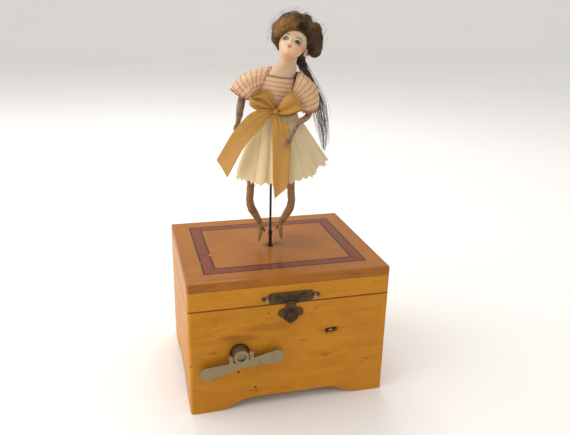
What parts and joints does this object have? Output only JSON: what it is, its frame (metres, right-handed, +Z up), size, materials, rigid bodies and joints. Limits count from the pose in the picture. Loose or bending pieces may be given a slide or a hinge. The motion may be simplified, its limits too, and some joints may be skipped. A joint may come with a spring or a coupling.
{
  "type": "musical automaton box",
  "caption": "Hinged wooden music box with an inlaid lid, a folding winding key, a clasp and a jointed doll that turns on a rod above the lid.",
  "frame": {"origin": "centre of the whole object's bounding box at the table surface", "axes": "+Z up; the box's front with key and clasp faces -Y; +X to the viewer's right"},
  "size_m": [0.15, 0.1346, 0.28],
  "materials": {
    "maple": "amber varnish",
    "maple_top": "amber varnish, glossy",
    "rosewood": "varnished",
    "black_line": "varnished",
    "pine": "bare",
    "old_brass": "aged",
    "steel": "worn",
    "nickel": "dull plated",
    "bronze": "dark stamped",
    "black_iron": "japanned",
    "wax": "waxed",
    "body_wood": "bare",
    "limb_paint": "old painted wood",
    "arm_paint": "flaking paint",
    "hair": "mohair",
    "striped_cotton": "printed stripe",
    "cream_cotton": "plain weave",
    "gold_ribbon": "satin"
  },
  "bodies": {
    "case": {"front_panel": "maple", "back_panel": "maple", "left_panel": "maple", "right_panel": "maple", "bottom_board": "pine", "case_screws": "steel", "lower_hinge_leaves": "old_brass", "hinge_pins": "steel", "bedplate": "old_brass", "front_plate": "old_brass", "back_plate": "old_brass", "spindle_bridge": "old_brass", "movement_screws": "steel", "comb": "steel", "comb_base": "old_brass", "lever_post": "old_brass"},
    "lid": {"lid_slab": "maple_top", "lid_front_rail": "maple", "lid_back_rail": "maple", "lid_left_rail": "maple", "lid_right_rail": "maple", "inlay_band": "rosewood", "inlay_lines": "black_line", "rod_bush": "black_iron", "upper_hinge_leaves": "old_brass", "clasp_plate": "bronze", "clasp_pins": "steel"},
    "clasp": {"clasp_drop": "bronze"},
    "key": {"winding_arbor": "nickel", "key_pin": "steel", "ratchet_wheel": "steel"},
    "wing": {"key_wing": "nickel"},
    "pawl": {"click": "steel"},
    "barrel": {"spring_barrel": "old_brass", "mainspring": "steel"},
    "cylinder": {"music_cylinder": "old_brass"},
    "spindle": {"drive_spindle": "old_brass"},
    "brake": {"air_brake": "steel"},
    "lever": {"stop_lever": "steel"},
    "doll": {"doll_rod": "black_iron", "rod_collar": "black_iron", "drive_pin": "steel", "doll_torso": "body_wood", "hip_wire": "steel", "shoulder_wire": "steel", "doll_head": "wax", "wig": "hair", "hair_lock": "hair", "skirt": "cream_cotton", "ribbon_bow": "gold_ribbon", "ribbon_tails": "gold_ribbon"},
    "arm_left": {"left_arm": "arm_paint", "left_sleeve": "striped_cotton"},
    "arm_right": {"right_arm": "arm_paint", "right_sleeve": "striped_cotton"},
    "thigh_left": {"left_thigh": "limb_paint"},
    "shin_left": {"left_shin": "limb_paint"},
    "thigh_right": {"right_thigh": "limb_paint"},
    "shin_right": {"right_shin": "limb_paint"}
  },
  "joints": [
    {"name": "lid_hinge", "type": "hinge", "parent": "case", "child": "lid", "pos_m": [0, 0.06603, 0.084], "axis": [-1, 0, 0], "range_deg": [0, 100]},
    {"name": "clasp_hinge", "type": "hinge", "parent": "lid", "child": "clasp", "pos_m": [-0.001, -0.0605, 0.0852], "axis": [-1, 0, 0], "range_deg": [0, 115]},
    {"name": "key_turn", "type": "hinge", "parent": "case", "child": "key", "pos_m": [-0.0387, -0.0593, 0.0485], "axis": [0, 1, 0], "continuous": true},
    {"name": "wing_fold", "type": "hinge", "parent": "key", "child": "wing", "pos_m": [-0.0387, -0.0645, 0.0485], "axis": [-0.9877, 0, -0.1564], "range_deg": [0, 90]},
    {"name": "click_lift", "type": "hinge", "parent": "case", "child": "pawl", "pos_m": [-0.0247, -0.0412, 0.0405], "axis": [0, 1, 0], "range_deg": [-6, 6]},
    {"name": "barrel_turn", "type": "hinge", "parent": "case", "child": "barrel", "pos_m": [-0.0387, -0.013, 0.0485], "axis": [0, 1, 0], "continuous": true},
    {"name": "cylinder_turn", "type": "hinge", "parent": "case", "child": "cylinder", "pos_m": [-0.0027, -0.013, 0.0485], "axis": [0, 1, 0], "continuous": true},
    {"name": "spindle_turn", "type": "hinge", "parent": "case", "child": "spindle", "pos_m": [-0.0027, -0.001, 0.07], "axis": [0, 0, 1], "continuous": true},
    {"name": "brake_turn", "type": "hinge", "parent": "case", "child": "brake", "pos_m": [0.0113, 0.0327, 0.0485], "axis": [0, 1, 0], "continuous": true},
    {"name": "lever_swing", "type": "hinge", "parent": "case", "child": "lever", "pos_m": [0.0307, -0.0193, 0.0572], "axis": [0, 0, 1], "range_deg": [-4, 4]},
    {"name": "doll_turn", "type": "hinge", "parent": "lid", "child": "doll", "pos_m": [-0.0027, -0.001, 0.1055], "axis": [0, 0, 1], "continuous": true},
    {"name": "shoulder_left", "type": "hinge", "parent": "doll", "child": "arm_left", "pos_m": [-0.02009, 0.00366, 0.2335], "axis": [-0.9659, 0.2588, 0], "range_deg": [-40, 18]},
    {"name": "shoulder_right", "type": "hinge", "parent": "doll", "child": "arm_right", "pos_m": [0.01903, -0.00682, 0.2335], "axis": [-0.9659, 0.2588, 0], "range_deg": [0, 60]},
    {"name": "hip_left", "type": "hinge", "parent": "doll", "child": "thigh_left", "pos_m": [-0.01217, 0.00154, 0.1955], "axis": [0.9659, -0.2588, 0], "range_deg": [-30, 30]},
    {"name": "knee_left", "type": "hinge", "parent": "thigh_left", "child": "shin_left", "pos_m": [-0.01835, 0.00319, 0.1415], "axis": [0.9659, -0.2588, 0], "range_deg": [0, 70]},
    {"name": "hip_right", "type": "hinge", "parent": "doll", "child": "thigh_right", "pos_m": [0.00677, -0.00354, 0.1955], "axis": [0.9659, -0.2588, 0], "range_deg": [-30, 30]},
    {"name": "knee_right", "type": "hinge", "parent": "thigh_right", "child": "shin_right", "pos_m": [0.01295, -0.00519, 0.1415], "axis": [0.9659, -0.2588, 0], "range_deg": [0, 70]}
  ],
  "couplings": [
    {"joint": "cylinder_turn", "follows": "barrel_turn", "ratio": -2},
    {"joint": "spindle_turn", "follows": "barrel_turn", "ratio": -2},
    {"joint": "doll_turn", "follows": "barrel_turn", "ratio": -2},
    {"joint": "brake_turn", "follows": "barrel_turn", "ratio": 12}
  ]
}
